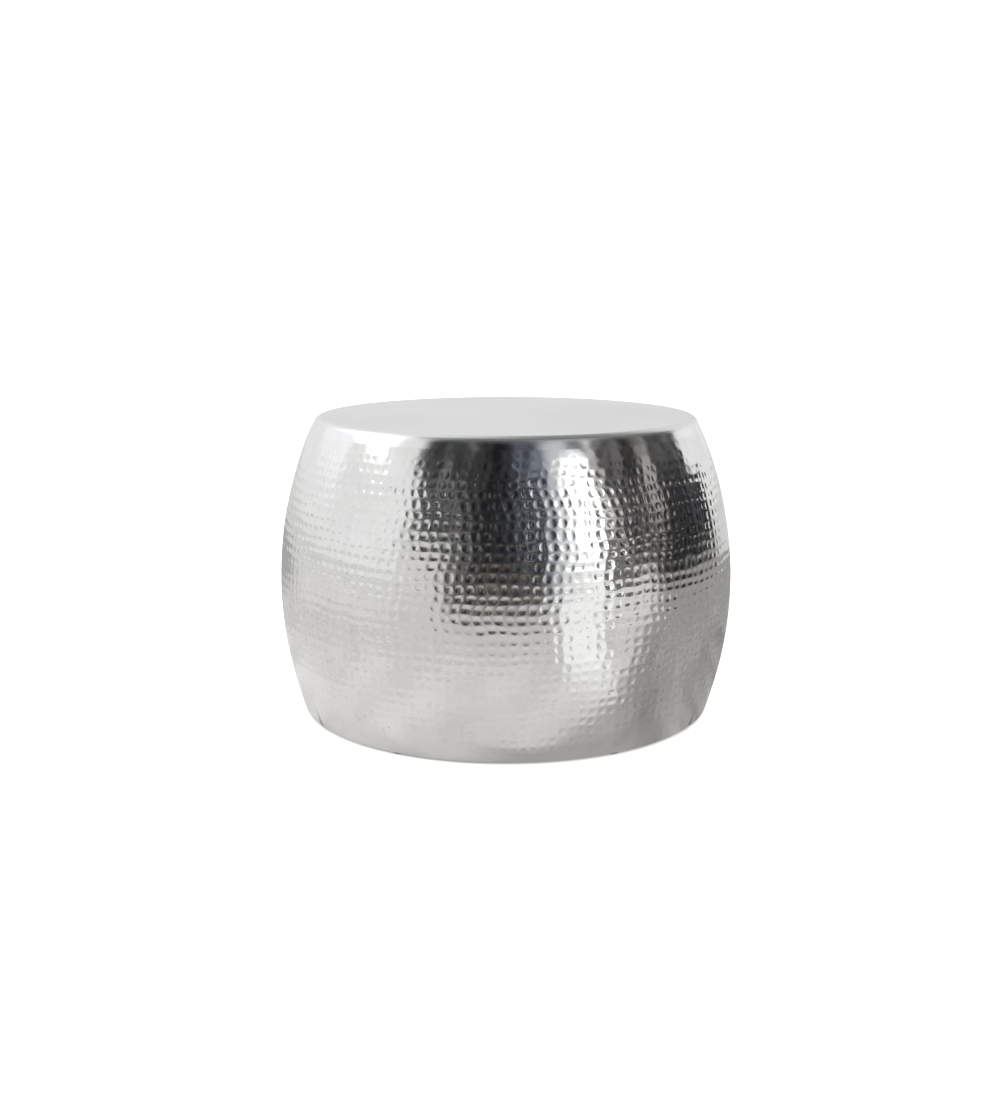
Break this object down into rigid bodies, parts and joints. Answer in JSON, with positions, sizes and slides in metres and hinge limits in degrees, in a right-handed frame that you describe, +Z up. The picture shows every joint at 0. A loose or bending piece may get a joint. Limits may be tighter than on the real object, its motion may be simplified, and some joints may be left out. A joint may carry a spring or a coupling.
{
  "type": "coffee table",
  "caption": "Barrel-shaped drum coffee table in hammered aluminium with a smooth flat round top, rounded rim, open hollow underside, inner stiffening board and felt floor pads.",
  "frame": {"origin": "on the floor, on the drum's axis", "axes": "+Z up the drum's axis, -Y towards the front, as the picture sees it, +X to the right of that view"},
  "size_m": [0.6, 0.6, 0.39],
  "materials": {
    "polished_aluminium": "satin polish, spun",
    "hammered_aluminium": "bright polish over close hammer dimples",
    "mill_aluminium": "dull mill finish",
    "fibreboard": "raw medium-density fibreboard",
    "plywood": "raw plywood",
    "screw_steel": "zinc plated",
    "felt": "pressed felt"
  },
  "bodies": {
    "root": {"top_plate": "polished_aluminium", "shell_panel_front": "hammered_aluminium", "shell_panel_right": "hammered_aluminium", "shell_panel_left": "hammered_aluminium", "seam_strip_right": "mill_aluminium", "seam_strip_back": "mill_aluminium", "seam_strip_left": "mill_aluminium", "support_ring": "mill_aluminium", "backing_board": "fibreboard", "board_screws": "screw_steel", "base_ring": "plywood", "base_screws": "screw_steel", "felt_pads": "felt"}
  },
  "joints": []
}
